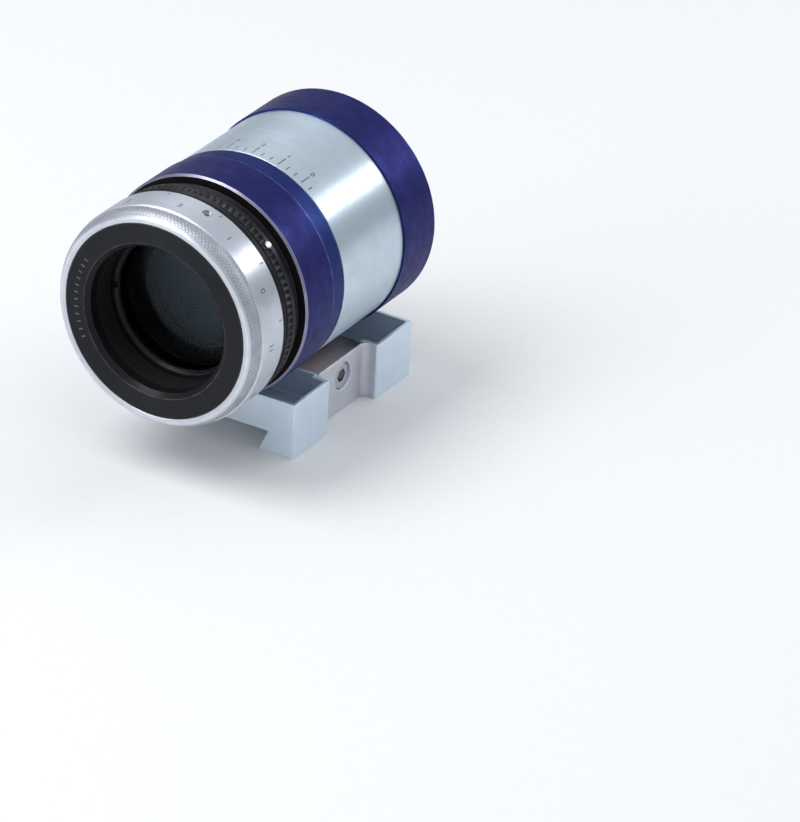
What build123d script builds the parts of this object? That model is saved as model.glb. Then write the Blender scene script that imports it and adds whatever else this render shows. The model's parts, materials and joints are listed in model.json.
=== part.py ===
from build123d import *
from math import copysign, cos, radians, sin, sqrt
import os

# A guide camera: a focusing lens in a turned aluminium body, on a dovetail clamp foot.
# Millimetres. +Z is up and the lens faces -Y. The origin is the middle of the foot's underside.
# A station is a distance along the tube axis, from the front rim towards the rear.

# ---- driving dimensions -------------------------------------------------------------------

LENGTH = 65.0
AXIS_HEIGHT = 33.4
RUNNING_FIT = 0.05
MOVING_GAP = 0.1
OVERSHOOT = 1.0

# stations of the outer rings
FOCUS_REAR = 10.2
LOCK_REAR = 15.1
COLLAR_FRONT = 18.0
COLLAR_REAR = 27.8
COVER_REAR = 32.1
TUBE_REAR = 53.6

# radii of the outer rings
BEZEL_RADIUS = 19.95
FOCUS_RADIUS = 22.5
LOCK_RADIUS = 22.2
THREAD_RADIUS = 20.8
COLLAR_RADIUS = 22.8
COVER_RADIUS = 22.45
TUBE_RADIUS = 22.4
TUBE_BORE = 20.0
EDGE = 0.25

# focusing lens
OPENING_RADIUS = 15.0
OPENING_CHAMFER = 0.9
BEZEL_THICKNESS = 1.2
SPIGOT_RADIUS = 16.4
SPIGOT_REAR = 3.0
SKIRT_RADIUS = 19.0
SKIRT_REAR = 5.5
BARREL_RADIUS = 17.55
BARREL_STEP = 18.6
BARREL_TAIL_RADIUS = 15.0
CELL_REAR = 22.6
LENS_SEAT_RADIUS = 14.8
GLASS_RADIUS = 14.75
REAR_GLASS_RADIUS = 12.95
FOCUS_TRAVEL_OUT = 4 / 3
FOCUS_TRAVEL_IN = 1 / 3

# glass surfaces: radii of curvature, and the radii of the polished areas
FRONT_CURVE = 80.0
FRONT_CLEAR = 13.7
CROWN_CURVE = 140.0
CROWN_CLEAR = 13.3
CEMENT_CURVE = -90.0
REAR_CURVE = -45.0
REAR_CLEAR = 11.6

# foot
FOOT_FRONT = 21.6
FOOT_HEIGHT = 11.9
FOOT_HALF_WIDTH = 18.85
WAIST_HALF_WIDTH = 15.9
WAIST_FRONT = 34.35
WAIST_REAR = 51.9
FOOT_WALL = 0.95
CHANNEL_HEIGHT = 4.4
CHANNEL_MOUTH_HALF = 11.0
CHANNEL_CEILING_HALF = 12.9
WELL_FLOOR = 6.0
CLAMP_STATION = 44.2
CLAMP_HEIGHT = 7.6

# electronics
BOARD_THICKNESS = 1.6
SENSOR_BOARD_FRONT = 38.8
SENSOR_BOARD_RADIUS = 19.0
INTERFACE_BOARD_FRONT = 53.0
INTERFACE_BOARD_RADIUS = 17.0
STANDOFF_CIRCLE = 14.4
STANDOFF_ANGLES = (90, 210, 330)
REAR_BORE = 17.4
REAR_PLATE_FRONT = 62.6
REAR_PLATE_REAR = 64.4
SOCKET_REAR = 64.6
SENSOR_PACKAGE = (12.4, 12.4)
SENSOR_DIE = (6.6, 5.2)

# ---- shared geometry ----------------------------------------------------------------------

# local x runs rearwards from the front rim, local y is the radius
HALF_SECTION = Plane(origin=(0, -LENGTH / 2, AXIS_HEIGHT), x_dir=(0, 1, 0), z_dir=(1, 0, 0))
TUBE_AXIS = Axis((0, 0, AXIS_HEIGHT), (0, 1, 0))


def y_of(station):
    """The Y coordinate of a station."""
    return station - LENGTH / 2


def facing(station):
    """The plane across the tube at a station, +X right, +Z up. Extrusions from it run forwards."""
    return Plane(origin=(0, y_of(station), AXIS_HEIGHT), x_dir=(1, 0, 0), z_dir=(0, -1, 0))


def radial(angle, station, radius):
    """A plane on the tube's side, looking outwards. Angle 0 is +X and 90 is +Z."""
    out = (cos(radians(angle)), 0, sin(radians(angle)))
    origin = (radius * out[0], y_of(station), AXIS_HEIGHT + radius * out[2])
    return Plane(origin=origin, x_dir=(0, 1, 0), z_dir=out)


def on_circle(radius, angles):
    """Points on a circle across the tube."""
    return [(radius * cos(radians(angle)), radius * sin(radians(angle))) for angle in angles]


def turn(profile, mode=Mode.ADD):
    """Turn a closed profile of (station, radius) points about the tube axis."""
    with BuildSketch(HALF_SECTION) as outline:
        with BuildLine():
            Polyline(*profile, close=True)
        make_face()
    revolve(outline.sketch, axis=TUBE_AXIS, mode=mode)


def turn_ring(front, rear, inner, outer, mode=Mode.ADD):
    """A plain ring between two stations and two radii."""
    turn([(front, inner), (front, outer), (rear, outer), (rear, inner)], mode)


def round_bar(points, front, rear, radius, mode=Mode.ADD):
    """Round bars or holes along the tube, at points across it."""
    with BuildSketch(facing(rear)) as outline:
        with Locations(*points):
            Circle(radius)
    extrude(outline.sketch, amount=rear - front, mode=mode)


def hex_bar(points, front, rear, across_flats, mode=Mode.ADD):
    """Hexagonal bars or sockets along the tube, at points across it."""
    with BuildSketch(facing(rear)) as outline:
        with Locations(*points):
            RegularPolygon(across_flats / 2, 6, major_radius=False)
    extrude(outline.sketch, amount=rear - front, mode=mode)


def block(centre, size, front, rear, mode=Mode.ADD, corner=0.0):
    """A rectangular block or pocket along the tube, centred on a point across it."""
    with BuildSketch(facing(rear)) as outline:
        with Locations(centre):
            if corner:
                RectangleRounded(size[0], size[1], corner)
            else:
                Rectangle(size[0], size[1])
    extrude(outline.sketch, amount=rear - front, mode=mode)


def radial_bar(angles, station, start, stop, radius, mode=Mode.ADD):
    """Round bars or holes that point out of the tube's side."""
    for angle in angles:
        with BuildSketch(radial(angle, station, start)) as outline:
            Circle(radius)
        extrude(outline.sketch, amount=stop - start, mode=mode)


def sag(curve, radius):
    """How far a surface of this curvature radius has fallen back at a distance from the axis."""
    return curve - copysign(sqrt(curve**2 - radius**2), curve)


def turn_lens(
    front, rear, radius, front_curve=None, rear_curve=None, front_clear=None, rear_clear=None
):
    """Turn a lens. A positive curve bulges forwards, a negative one rearwards, None is flat.

    front and rear are the stations of its edge, and a clear radius leaves a flat seat outside it.
    """
    front_clear = front_clear or radius
    rear_clear = rear_clear or radius
    with BuildSketch(HALF_SECTION) as outline:
        with BuildLine():
            for edge, curve, clear in ((front, front_curve, front_clear), (rear, rear_curve, rear_clear)):
                vertex = edge
                if curve:
                    vertex = edge - sag(curve, clear)
                    middle = vertex + sag(curve, clear / 2)
                    ThreePointArc((vertex, 0), (middle, clear / 2), (edge, clear))
                else:
                    Line((vertex, 0), (edge, clear))
                if clear < radius:
                    Line((edge, clear), (edge, radius))
            Line((front, radius), (rear, radius))
            front_vertex = front - (sag(front_curve, front_clear) if front_curve else 0)
            rear_vertex = rear - (sag(rear_curve, rear_clear) if rear_curve else 0)
            Line((front_vertex, 0), (rear_vertex, 0))
        make_face()
    revolve(outline.sketch, axis=TUBE_AXIS)


# ---- front bezel and lens cell ------------------------------------------------------------

with BuildPart() as bezel:
    turn([
        (OPENING_CHAMFER, OPENING_RADIUS),
        (0, OPENING_RADIUS + OPENING_CHAMFER),
        (0, BEZEL_RADIUS - EDGE),
        (EDGE, BEZEL_RADIUS),
        (BEZEL_THICKNESS, BEZEL_RADIUS),
        (BEZEL_THICKNESS, SPIGOT_RADIUS),
        (SPIGOT_REAR, SPIGOT_RADIUS),
        (SPIGOT_REAR, OPENING_RADIUS),
    ])

RECESS_REAR = 8.0
RETAINER_FRONT = 8.3
FRONT_LENS_EDGE = 9.6
SPACER_FRONT = 12.4
CROWN_EDGE = 13.4
CEMENT_EDGE = 14.9
CELL_WEB_FRONT = 17.4
CELL_WEB_REAR = 18.2
CELL_WEB_RADIUS = 11.0
REAR_CELL_BORE = 13.0
KEY_ANGLES = (90, 210, 330)
KEY_STATION = 13.0
KEY_RADIUS = 0.75
KEY_TIP = 16.3
SLOT_FLOOR = 16.2
SLOT_MARGIN = 0.15

with BuildPart() as lens_cell:
    turn([
        (BEZEL_THICKNESS, SPIGOT_RADIUS),
        (BEZEL_THICKNESS, SKIRT_RADIUS),
        (SKIRT_REAR, SKIRT_RADIUS),
        (SKIRT_REAR, BARREL_RADIUS),
        (BARREL_STEP, BARREL_RADIUS),
        (BARREL_STEP, BARREL_TAIL_RADIUS),
        (CELL_REAR, BARREL_TAIL_RADIUS),
        (CELL_REAR, REAR_CELL_BORE),
        (CELL_WEB_REAR, REAR_CELL_BORE),
        (CELL_WEB_REAR, CELL_WEB_RADIUS),
        (CELL_WEB_FRONT, CELL_WEB_RADIUS),
        (CELL_WEB_FRONT, LENS_SEAT_RADIUS),
        (RECESS_REAR, LENS_SEAT_RADIUS),
        (RECESS_REAR, OPENING_RADIUS),
        (SPIGOT_REAR, OPENING_RADIUS),
        (SPIGOT_REAR, SPIGOT_RADIUS),
    ])
    # straight slots for the guide pins, which stop the cell turning
    slot_front = KEY_STATION - FOCUS_TRAVEL_IN - KEY_RADIUS - SLOT_MARGIN
    slot_rear = KEY_STATION + FOCUS_TRAVEL_OUT + KEY_RADIUS + SLOT_MARGIN
    slot_width = 2 * (KEY_RADIUS + RUNNING_FIT)
    for angle in KEY_ANGLES:
        with BuildSketch(radial(angle, (slot_front + slot_rear) / 2, SLOT_FLOOR)) as slot:
            Rectangle(slot_rear - slot_front, slot_width)
        extrude(slot.sketch, amount=BARREL_RADIUS - SLOT_FLOOR + OVERSHOOT, mode=Mode.SUBTRACT)

NOTCH_WIDTH = 1.4
NOTCH_DEPTH = 0.7
RETAINER_BORE = 13.8
RETAINER_CHAMFER = 0.5
SPACER_BORE = 13.4

with BuildPart() as front_retainer:
    turn([
        (RETAINER_FRONT, RETAINER_BORE + RETAINER_CHAMFER),
        (RETAINER_FRONT, LENS_SEAT_RADIUS),
        (FRONT_LENS_EDGE, LENS_SEAT_RADIUS),
        (FRONT_LENS_EDGE, RETAINER_BORE),
        (RETAINER_FRONT + RETAINER_CHAMFER, RETAINER_BORE),
    ])
    notch_rear = RETAINER_FRONT + NOTCH_DEPTH
    block((0, 0), (2 * OPENING_RADIUS, NOTCH_WIDTH), RETAINER_FRONT, notch_rear, Mode.SUBTRACT)

with BuildPart() as front_lens:
    turn_lens(
        FRONT_LENS_EDGE, SPACER_FRONT, GLASS_RADIUS, front_curve=FRONT_CURVE, front_clear=FRONT_CLEAR
    )

with BuildPart() as lens_spacer:
    turn_ring(SPACER_FRONT, CROWN_EDGE, SPACER_BORE, GLASS_RADIUS)

with BuildPart() as crown_lens:
    turn_lens(
        CROWN_EDGE,
        CEMENT_EDGE,
        GLASS_RADIUS,
        front_curve=CROWN_CURVE,
        rear_curve=CEMENT_CURVE,
        front_clear=CROWN_CLEAR,
    )

with BuildPart() as flint_lens:
    turn_lens(CEMENT_EDGE, CELL_WEB_FRONT, GLASS_RADIUS, front_curve=CEMENT_CURVE)

STOP_THICKNESS = 0.3
STOP_RADIUS = 9.5
REAR_LENS_FRONT = CELL_WEB_REAR + STOP_THICKNESS
REAR_LENS_EDGE = 20.6
REAR_RETAINER_REAR = 22.4
REAR_RETAINER_BORE = 11.8

with BuildPart() as aperture_stop:
    turn_ring(CELL_WEB_REAR, REAR_LENS_FRONT, STOP_RADIUS, REAR_CELL_BORE)

with BuildPart() as rear_lens:
    turn_lens(
        REAR_LENS_FRONT, REAR_LENS_EDGE, REAR_GLASS_RADIUS, rear_curve=REAR_CURVE, rear_clear=REAR_CLEAR
    )

with BuildPart() as rear_retainer:
    turn_ring(REAR_LENS_EDGE, REAR_RETAINER_REAR, REAR_RETAINER_BORE, REAR_CELL_BORE)
    notch_front = REAR_RETAINER_REAR - NOTCH_DEPTH
    block((0, 0), (2 * REAR_CELL_BORE, NOTCH_WIDTH), notch_front, REAR_RETAINER_REAR, Mode.SUBTRACT)

# ---- focus ring: silver grip on an inner threaded ring -------------------------------------

GRIP_FRONT_BORE = 20.0
GRIP_FACE_RADIUS = 20.9
GRIP_LIP_REAR = 1.6
KNURLED_REAR = 3.0
KNURLED_RADIUS = 22.3
RIDGE_FRONT = 3.1
HELICOID_RADIUS = 20.6
MOUNT_FRONT = 6.2
MOUNT_NOSE_RADIUS = 19.4
SNAP_FRONT = 8.25
SNAP_REAR = 8.95
SNAP_INNER = 18.95
SNAP_OUTER = 19.75
GRIP_SCREW_ANGLES = (74, 194, 314)
GRIP_SCREW_STATION = 7.7
GRUB_RADIUS = 1.0
GRUB_TIP = 20.0
GRUB_TOP = 22.1
GRUB_HEX = 0.9
GRUB_HEX_DEPTH = 0.8

with BuildPart() as focus_ring:
    with BuildSketch(HALF_SECTION):
        with BuildLine():
            # the lip curves back from the face into the knurled band
            EllipticalCenterArc(
                (KNURLED_REAR, GRIP_FACE_RADIUS),
                KNURLED_REAR,
                KNURLED_RADIUS - GRIP_FACE_RADIUS,
                start_angle=90,
                arc_size=90,
            )
            Polyline(
                (KNURLED_REAR, KNURLED_RADIUS),
                (RIDGE_FRONT, FOCUS_RADIUS),
                (FOCUS_REAR - EDGE, FOCUS_RADIUS),
                (FOCUS_REAR, FOCUS_RADIUS - EDGE),
                (FOCUS_REAR, HELICOID_RADIUS),
                (GRIP_LIP_REAR, HELICOID_RADIUS),
                (GRIP_LIP_REAR, GRIP_FRONT_BORE),
                (0, GRIP_FRONT_BORE),
                (0, GRIP_FACE_RADIUS),
            )
        make_face()
    revolve(axis=TUBE_AXIS)
    radial_bar(
        GRIP_SCREW_ANGLES, GRIP_SCREW_STATION, GRUB_TIP, FOCUS_RADIUS + EDGE, GRUB_RADIUS, Mode.SUBTRACT
    )

with BuildPart() as helicoid_ring:
    turn([
        (GRIP_LIP_REAR, SKIRT_RADIUS + RUNNING_FIT),
        (GRIP_LIP_REAR, HELICOID_RADIUS),
        (FOCUS_REAR, HELICOID_RADIUS),
        (FOCUS_REAR, MOUNT_NOSE_RADIUS + RUNNING_FIT),
        (SNAP_REAR + MOVING_GAP, MOUNT_NOSE_RADIUS + RUNNING_FIT),
        (SNAP_REAR + MOVING_GAP, SNAP_OUTER + RUNNING_FIT),
        (SNAP_FRONT - MOVING_GAP, SNAP_OUTER + RUNNING_FIT),
        (SNAP_FRONT - MOVING_GAP, MOUNT_NOSE_RADIUS + RUNNING_FIT),
        (MOUNT_FRONT - MOVING_GAP, MOUNT_NOSE_RADIUS + RUNNING_FIT),
        (MOUNT_FRONT - MOVING_GAP, SKIRT_RADIUS + RUNNING_FIT),
    ])
    radial_bar(
        GRIP_SCREW_ANGLES, GRIP_SCREW_STATION, GRUB_TIP, HELICOID_RADIUS + EDGE, GRUB_RADIUS, Mode.SUBTRACT
    )

with BuildPart() as focus_ring_screws:
    radial_bar(GRIP_SCREW_ANGLES, GRIP_SCREW_STATION, GRUB_TIP, GRUB_TOP, GRUB_RADIUS)
    for angle in GRIP_SCREW_ANGLES:
        with BuildSketch(radial(angle, GRIP_SCREW_STATION, GRUB_TOP - GRUB_HEX_DEPTH)) as hex_socket:
            RegularPolygon(GRUB_HEX / 2, 6, major_radius=False)
        extrude(hex_socket.sketch, amount=GRUB_HEX_DEPTH, mode=Mode.SUBTRACT)

# ---- fixed lens mount and lock ring ---------------------------------------------------------

LOCK_FRONT = FOCUS_REAR + MOVING_GAP
MOUNT_BORE = BARREL_RADIUS + RUNNING_FIT
MOUNT_SPIGOT_RADIUS = 18.6
MOUNT_REAR = 26.0
THREAD_PITCH = 0.75
THREAD_DEPTH = 0.3
THREAD_START = LOCK_REAR + 0.35
THREAD_TURNS = 4
THREAD_STATIONS = [THREAD_START + THREAD_PITCH * number for number in range(THREAD_TURNS)]
SNAP_GAP = 3.0

with BuildPart() as lens_mount:
    turn([
        (MOUNT_FRONT, MOUNT_BORE),
        (MOUNT_FRONT, MOUNT_NOSE_RADIUS),
        (SNAP_FRONT, MOUNT_NOSE_RADIUS),
        (SNAP_FRONT, SNAP_INNER),
        (SNAP_REAR, SNAP_INNER),
        (SNAP_REAR, MOUNT_NOSE_RADIUS),
        (LOCK_FRONT, MOUNT_NOSE_RADIUS),
        (LOCK_FRONT, THREAD_RADIUS),
        (COLLAR_FRONT, THREAD_RADIUS),
        (COLLAR_FRONT, MOUNT_SPIGOT_RADIUS),
        (MOUNT_REAR, MOUNT_SPIGOT_RADIUS),
        (MOUNT_REAR, MOUNT_BORE),
    ])
    # the lock ring's thread, where it shows behind the ring
    for station in THREAD_STATIONS:
        turn([
            (station - THREAD_PITCH / 3, THREAD_RADIUS + MOVING_GAP),
            (station + THREAD_PITCH / 3, THREAD_RADIUS + MOVING_GAP),
            (station, THREAD_RADIUS - THREAD_DEPTH),
        ], Mode.SUBTRACT)
    radial_bar(KEY_ANGLES, KEY_STATION, KEY_TIP, THREAD_RADIUS + OVERSHOOT, KEY_RADIUS, Mode.SUBTRACT)

with BuildPart() as guide_pins:
    radial_bar(KEY_ANGLES, KEY_STATION, KEY_TIP, THREAD_RADIUS - MOVING_GAP, KEY_RADIUS)

with BuildPart() as snap_ring:
    turn_ring(SNAP_FRONT, SNAP_REAR, SNAP_INNER, SNAP_OUTER)
    block((0, -SNAP_OUTER), (SNAP_GAP, SNAP_GAP), SNAP_FRONT, SNAP_REAR, Mode.SUBTRACT)

KNURL_COUNT = 80
KNURL_DEPTH = 0.3
KNURL_OVERSHOOT = 0.1
KNURL_FRONT = 11.2
KNURL_REAR = 13.2
LOCK_SCREW_ANGLE = 44
LOCK_SCREW_STATION = 14.1
LOCK_SCREW_RADIUS = 0.8
LOCK_SCREW_TIP = THREAD_RADIUS + MOVING_GAP

with BuildPart() as lock_ring:
    turn([
        (LOCK_FRONT, THREAD_RADIUS + RUNNING_FIT),
        (LOCK_FRONT, LOCK_RADIUS - EDGE),
        (LOCK_FRONT + EDGE, LOCK_RADIUS),
        (LOCK_REAR - EDGE, LOCK_RADIUS),
        (LOCK_REAR, LOCK_RADIUS - EDGE),
        (LOCK_REAR, THREAD_RADIUS + RUNNING_FIT),
    ])
    # straight knurl
    with BuildSketch(facing(KNURL_REAR)) as knurl:
        with PolarLocations(LOCK_RADIUS + KNURL_OVERSHOOT, KNURL_COUNT):
            RegularPolygon(KNURL_DEPTH + KNURL_OVERSHOOT, 4)
    extrude(knurl.sketch, amount=KNURL_REAR - KNURL_FRONT, mode=Mode.SUBTRACT)
    radial_bar(
        [LOCK_SCREW_ANGLE],
        LOCK_SCREW_STATION,
        THREAD_RADIUS - EDGE,
        LOCK_RADIUS + EDGE,
        LOCK_SCREW_RADIUS,
        Mode.SUBTRACT,
    )

with BuildPart() as lock_screw:
    radial_bar([LOCK_SCREW_ANGLE], LOCK_SCREW_STATION, LOCK_SCREW_TIP, LOCK_RADIUS, LOCK_SCREW_RADIUS)

# ---- body shells ------------------------------------------------------------------------------

COLLAR_CHAMFER = 0.55
SEAL_RADIUS = 0.6
SEAL_SEAT = TUBE_BORE - 2 * SEAL_RADIUS
FRONT_SEAL_STATION = 34.1
REAR_SEAL_STATION = 51.7
SEAL_HALF_GROOVE = 0.7
COVER_SPIGOT_REAR = 36.0
COVER_CAVITY_FRONT = 27.0
COVER_CAVITY_RADIUS = 16.5
COVER_WEB_FRONT = 30.5
WINDOW_RADIUS = 11.5
WINDOW_FRONT = 33.5
WINDOW_REAR = 34.6
LIGHT_RADIUS = 9.5
STUD_RADIUS = 1.25
STUD_HOLE_FRONT = 32.6

with BuildPart() as front_collar:
    turn([
        (COLLAR_FRONT, HELICOID_RADIUS),
        (COLLAR_FRONT, COLLAR_RADIUS - COLLAR_CHAMFER),
        (COLLAR_FRONT + COLLAR_CHAMFER, COLLAR_RADIUS),
        (COLLAR_REAR - EDGE, COLLAR_RADIUS),
        (COLLAR_REAR, COLLAR_RADIUS - EDGE),
        (COLLAR_REAR, HELICOID_RADIUS),
    ])

standoff_points = on_circle(STANDOFF_CIRCLE, STANDOFF_ANGLES)

with BuildPart() as front_cover:
    turn([
        (COLLAR_FRONT, MOUNT_SPIGOT_RADIUS),
        (COLLAR_FRONT, HELICOID_RADIUS),
        (COLLAR_REAR, HELICOID_RADIUS),
        (COLLAR_REAR, COVER_RADIUS),
        (COVER_REAR - EDGE, COVER_RADIUS),
        (COVER_REAR, COVER_RADIUS - EDGE),
        (COVER_REAR, TUBE_BORE),
        (FRONT_SEAL_STATION - SEAL_HALF_GROOVE, TUBE_BORE),
        (FRONT_SEAL_STATION - SEAL_HALF_GROOVE, SEAL_SEAT),
        (FRONT_SEAL_STATION + SEAL_HALF_GROOVE, SEAL_SEAT),
        (FRONT_SEAL_STATION + SEAL_HALF_GROOVE, TUBE_BORE),
        (COVER_SPIGOT_REAR, TUBE_BORE),
        (COVER_SPIGOT_REAR, WINDOW_RADIUS),
        (WINDOW_FRONT, WINDOW_RADIUS),
        (WINDOW_FRONT, LIGHT_RADIUS),
        (COVER_WEB_FRONT, LIGHT_RADIUS),
        (COVER_WEB_FRONT, COVER_CAVITY_RADIUS),
        (COVER_CAVITY_FRONT, COVER_CAVITY_RADIUS),
        (COVER_CAVITY_FRONT, MOUNT_SPIGOT_RADIUS),
    ])
    round_bar(standoff_points, STUD_HOLE_FRONT, COVER_SPIGOT_REAR, STUD_RADIUS, Mode.SUBTRACT)


def seal_ring(station):
    """An O-ring of round section in its groove."""
    with BuildSketch(HALF_SECTION) as outline:
        with Locations((station, TUBE_BORE - SEAL_RADIUS)):
            Circle(SEAL_RADIUS)
    revolve(outline.sketch, axis=TUBE_AXIS)


with BuildPart() as front_seal:
    seal_ring(FRONT_SEAL_STATION)

with BuildPart() as rear_seal:
    seal_ring(REAR_SEAL_STATION)

FOOT_SCREW_STATIONS = (38.0, 49.0)
FOOT_SCREW_RADIUS = 1.5
BELOW = 270

with BuildPart() as body_tube:
    turn([
        (COVER_REAR, TUBE_BORE),
        (COVER_REAR, TUBE_RADIUS - EDGE),
        (COVER_REAR + EDGE, TUBE_RADIUS),
        (TUBE_REAR - EDGE, TUBE_RADIUS),
        (TUBE_REAR, TUBE_RADIUS - EDGE),
        (TUBE_REAR, TUBE_BORE),
    ])
    hole_start = TUBE_BORE - OVERSHOOT
    hole_stop = TUBE_RADIUS + OVERSHOOT
    for station in FOOT_SCREW_STATIONS:
        radial_bar([BELOW], station, hole_start, hole_stop, FOOT_SCREW_RADIUS, Mode.SUBTRACT)

REAR_SPIGOT_FRONT = 49.8
REAR_CHAMFER = 0.45
PLATE_RADIUS = 20.55
PLATE_SCREW_CIRCLE = 18.95
PLATE_SCREW_ANGLES = (45, 135, 225, 315)
PLATE_SCREW_RADIUS = 1.0
PLATE_SCREW_TIP = 58.0
PLATE_SCREW_HOLE_FRONT = 57.5
plate_screw_points = on_circle(PLATE_SCREW_CIRCLE, PLATE_SCREW_ANGLES)

with BuildPart() as rear_ring:
    turn([
        (REAR_SPIGOT_FRONT, REAR_BORE),
        (REAR_SPIGOT_FRONT, TUBE_BORE),
        (REAR_SEAL_STATION - SEAL_HALF_GROOVE, TUBE_BORE),
        (REAR_SEAL_STATION - SEAL_HALF_GROOVE, SEAL_SEAT),
        (REAR_SEAL_STATION + SEAL_HALF_GROOVE, SEAL_SEAT),
        (REAR_SEAL_STATION + SEAL_HALF_GROOVE, TUBE_BORE),
        (TUBE_REAR, TUBE_BORE),
        (TUBE_REAR, COLLAR_RADIUS - EDGE),
        (TUBE_REAR + EDGE, COLLAR_RADIUS),
        (LENGTH - REAR_CHAMFER, COLLAR_RADIUS),
        (LENGTH, COLLAR_RADIUS - REAR_CHAMFER),
        (LENGTH, PLATE_RADIUS),
        (REAR_PLATE_FRONT, PLATE_RADIUS),
        (REAR_PLATE_FRONT, REAR_BORE),
    ])
    round_bar(
        plate_screw_points, PLATE_SCREW_HOLE_FRONT, REAR_PLATE_FRONT, PLATE_SCREW_RADIUS, Mode.SUBTRACT
    )

# ---- rear plate and its sockets --------------------------------------------------------------

USB_CENTRE = (0, 7.0)
USB_SIZE = (7.7, 3.95)
USB_WALL = 0.35
USB_CORNER = 0.8
USB_FLOOR = 1.0
USB_TONGUE = (5.0, 0.9)
USB_TONGUE_RECESS = 1.2
PORT_CENTRE = (0, -6.4)
PORT_SIZE = (13.2, 11.4)
PORT_CAVITY = (9.8, 6.6)
PORT_FRONT = 51.6
PORT_FLOOR = PORT_FRONT + 2.0
LATCH_NOTCH = (6.0, 1.2)
LATCH_KEY = (3.2, 1.2)
LATCH_KEY_STEP = 1.0
LATCH_KEY_FRONT = PORT_FRONT + 5.0
SCREW_HEAD_CIRCLE = 18.75
SCREW_HEAD_RADIUS = 1.7
SCREW_HEAD_SEAT = 63.2
SCREW_HEAD_TOP = 64.3
SCREW_HEX = 1.3
SCREW_HEX_DEPTH = 0.7
COUNTERSINK_CIRCLE = 18.6
COUNTERSINK_RADIUS = 1.9

with BuildPart() as rear_plate:
    turn_ring(REAR_PLATE_FRONT, REAR_PLATE_REAR, 0, PLATE_RADIUS)
    block(USB_CENTRE, USB_SIZE, REAR_PLATE_FRONT, REAR_PLATE_REAR, Mode.SUBTRACT, corner=USB_CORNER)
    block(PORT_CENTRE, PORT_SIZE, REAR_PLATE_FRONT, REAR_PLATE_REAR, Mode.SUBTRACT)
    round_bar(plate_screw_points, REAR_PLATE_FRONT, REAR_PLATE_REAR, PLATE_SCREW_RADIUS, Mode.SUBTRACT)
    countersinks = on_circle(COUNTERSINK_CIRCLE, PLATE_SCREW_ANGLES)
    round_bar(countersinks, SCREW_HEAD_SEAT, REAR_PLATE_REAR, COUNTERSINK_RADIUS, Mode.SUBTRACT)

with BuildPart() as rear_plate_screws:
    round_bar(plate_screw_points, PLATE_SCREW_TIP, SCREW_HEAD_SEAT, PLATE_SCREW_RADIUS)
    head_points = on_circle(SCREW_HEAD_CIRCLE, PLATE_SCREW_ANGLES)
    round_bar(head_points, SCREW_HEAD_SEAT, SCREW_HEAD_TOP, SCREW_HEAD_RADIUS)
    hex_bar(head_points, SCREW_HEAD_TOP - SCREW_HEX_DEPTH, SCREW_HEAD_TOP, SCREW_HEX, Mode.SUBTRACT)

BOARD_REAR = INTERFACE_BOARD_FRONT + BOARD_THICKNESS

with BuildPart() as usb_socket:
    block(USB_CENTRE, USB_SIZE, BOARD_REAR, SOCKET_REAR, corner=USB_CORNER)
    inside = (USB_SIZE[0] - 2 * USB_WALL, USB_SIZE[1] - 2 * USB_WALL)
    corner = USB_CORNER - USB_WALL
    block(USB_CENTRE, inside, BOARD_REAR + USB_FLOOR, SOCKET_REAR, Mode.SUBTRACT, corner)

with BuildPart() as usb_tongue:
    block(USB_CENTRE, USB_TONGUE, BOARD_REAR + USB_FLOOR, SOCKET_REAR - USB_TONGUE_RECESS)

with BuildPart() as guide_port:
    block(PORT_CENTRE, PORT_SIZE, PORT_FRONT, SOCKET_REAR)
    block(PORT_CENTRE, PORT_CAVITY, PORT_FLOOR, SOCKET_REAR, Mode.SUBTRACT)
    # stepped notch for the plug's latch
    latch_y = PORT_CENTRE[1] - (PORT_CAVITY[1] + LATCH_NOTCH[1]) / 2
    block((PORT_CENTRE[0], latch_y), LATCH_NOTCH, PORT_FLOOR, SOCKET_REAR, Mode.SUBTRACT)
    key_y = latch_y - LATCH_KEY_STEP
    block((PORT_CENTRE[0], key_y), LATCH_KEY, LATCH_KEY_FRONT, SOCKET_REAR, Mode.SUBTRACT)

CONTACT_PITCH = 1.27
CONTACT_COUNT = 6
CONTACT_WIDTH = 0.5
CONTACT_REAR = SOCKET_REAR - 2.0

with BuildPart() as guide_port_contacts:
    contact_y = PORT_CENTRE[1] + (PORT_CAVITY[1] - CONTACT_WIDTH) / 2
    for number in range(CONTACT_COUNT):
        contact_x = PORT_CENTRE[0] + (number - (CONTACT_COUNT - 1) / 2) * CONTACT_PITCH
        block((contact_x, contact_y), (CONTACT_WIDTH, CONTACT_WIDTH), PORT_FLOOR, CONTACT_REAR)

# ---- boards, sensor and standoffs ---------------------------------------------------------------

SENSOR_BOARD_REAR = SENSOR_BOARD_FRONT + BOARD_THICKNESS
PACKAGE_FRONT = 36.9
GLASS_LID_FRONT = 36.4
HEADER_CENTRE = (0, 7.0)
HEADER_SIZE = (10.4, 4.4)
STANDOFF_FLATS = 4.2
FRONT_STUD_TIP = 33.0
FRONT_STANDOFF_HOLE = 37.2
REAR_STUD_TIP = 37.4
REAR_STANDOFF_HOLE = 47.5
PACKAGE_POCKET = (9.0, 9.0)
PACKAGE_POCKET_REAR = PACKAGE_FRONT + 1.1
DIE_THICKNESS = 0.5
GLASS_LID = (11.2, 11.2)
WINDOW_RETAINER_REAR = WINDOW_REAR + 1.2

with BuildPart() as sensor_window:
    turn_ring(WINDOW_FRONT, WINDOW_REAR, 0, WINDOW_RADIUS - RUNNING_FIT)

with BuildPart() as window_retainer:
    turn_ring(WINDOW_REAR, WINDOW_RETAINER_REAR, LIGHT_RADIUS, WINDOW_RADIUS)

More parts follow.
